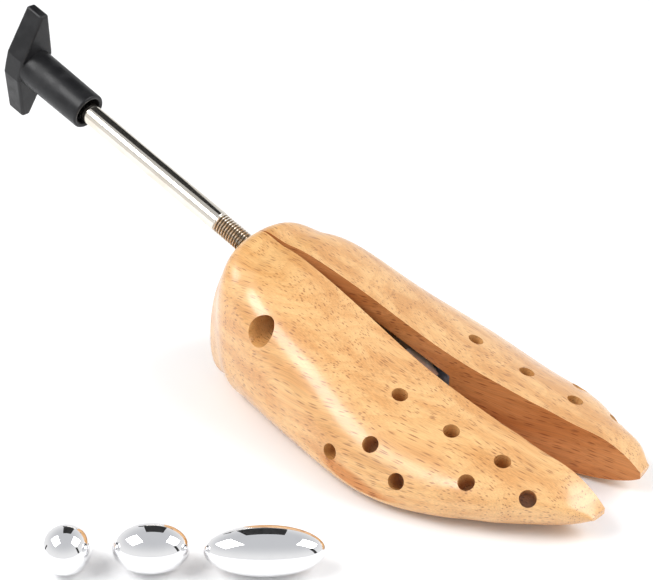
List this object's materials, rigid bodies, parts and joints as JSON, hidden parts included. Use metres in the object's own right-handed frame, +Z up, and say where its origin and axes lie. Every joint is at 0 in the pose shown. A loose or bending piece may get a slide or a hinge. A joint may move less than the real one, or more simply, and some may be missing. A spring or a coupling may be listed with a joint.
{
  "type": "shoe stretcher",
  "caption": "Wooden shoe stretcher in two halves that a spindle with a T-handle and a wedge rocks apart, with loose rounded pressure plugs beside it.",
  "frame": {"origin": "foot of the upright line that the two halves rock on, level with their soles", "axes": "+X along the last towards the toe, +Y towards the far half, +Z up from the soles"},
  "size_m": [0.3556, 0.2307, 0.1452],
  "materials": {
    "beech": "sanded and waxed beech",
    "blued_steel": "blued steel, lightly rubbed",
    "zinc_steel": "zinc plated",
    "spring_steel": "oiled spring wire",
    "nickel_steel": "nickel plated and polished",
    "black_plastic": "moulded, satin",
    "chromed_metal": "mirror chrome"
  },
  "bodies": {
    "core": {"barrel_nut": "zinc_steel", "tie_bolt": "zinc_steel", "tie_nut": "zinc_steel", "near_washer": "zinc_steel", "far_washer": "zinc_steel", "near_spring": "spring_steel", "far_spring": "spring_steel"},
    "near_last": {"near_half": "beech", "near_ramp_plate": "blued_steel", "near_ramp_screws": "zinc_steel"},
    "far_last": {"far_half": "beech", "far_ramp_plate": "blued_steel", "far_ramp_screws": "zinc_steel"},
    "spreader": {"spreader_wedge": "blued_steel", "thrust_washer": "zinc_steel"},
    "spindle_and_handle": {"spindle": "nickel_steel", "retaining_ring": "spring_steel", "t_handle": "black_plastic"},
    "ball_plug": {"ball_plug": "chromed_metal"},
    "short_oval_plug": {"short_oval_plug": "chromed_metal"},
    "long_oval_plug": {"long_oval_plug": "chromed_metal"}
  },
  "joints": [
    {"name": "near_opening", "type": "hinge", "parent": "core", "child": "near_last", "pos_m": [0, 0, 0], "axis": [0, 0, -1], "range_deg": [-4.2, 1.7], "deforming": ["near_spring", "far_spring"]},
    {"name": "far_opening", "type": "hinge", "parent": "core", "child": "far_last", "pos_m": [0, 0, 0], "axis": [0, 0, 1], "range_deg": [-4.3, 1.8]},
    {"name": "wedge_travel", "type": "slide", "parent": "core", "child": "spreader", "axis": [0.9297, 0, -0.3684], "range_m": [-0.0212, 0.0087]},
    {"name": "spindle_turn", "type": "hinge", "parent": "spreader", "child": "spindle_and_handle", "pos_m": [-0.0096, 0, 0.0609], "axis": [0.9297, 0, -0.3684], "range_deg": [-5060, 2060]},
    {"name": "ball_plug_lift", "type": "slide", "parent": "core", "child": "ball_plug", "axis": [0, 0, 1], "range_m": [0, 0.06]},
    {"name": "short_oval_plug_lift", "type": "slide", "parent": "core", "child": "short_oval_plug", "axis": [0, 0, 1], "range_m": [0, 0.06]},
    {"name": "long_oval_plug_lift", "type": "slide", "parent": "core", "child": "long_oval_plug", "axis": [0, 0, 1], "range_m": [0, 0.06]}
  ],
  "couplings": [
    {"joint": "far_opening", "follows": "near_opening", "ratio": 1},
    {"joint": "wedge_travel", "follows": "near_opening", "m_per_rad": 0.28648},
    {"joint": "spindle_turn", "follows": "near_opening", "ratio": 1200}
  ]
}
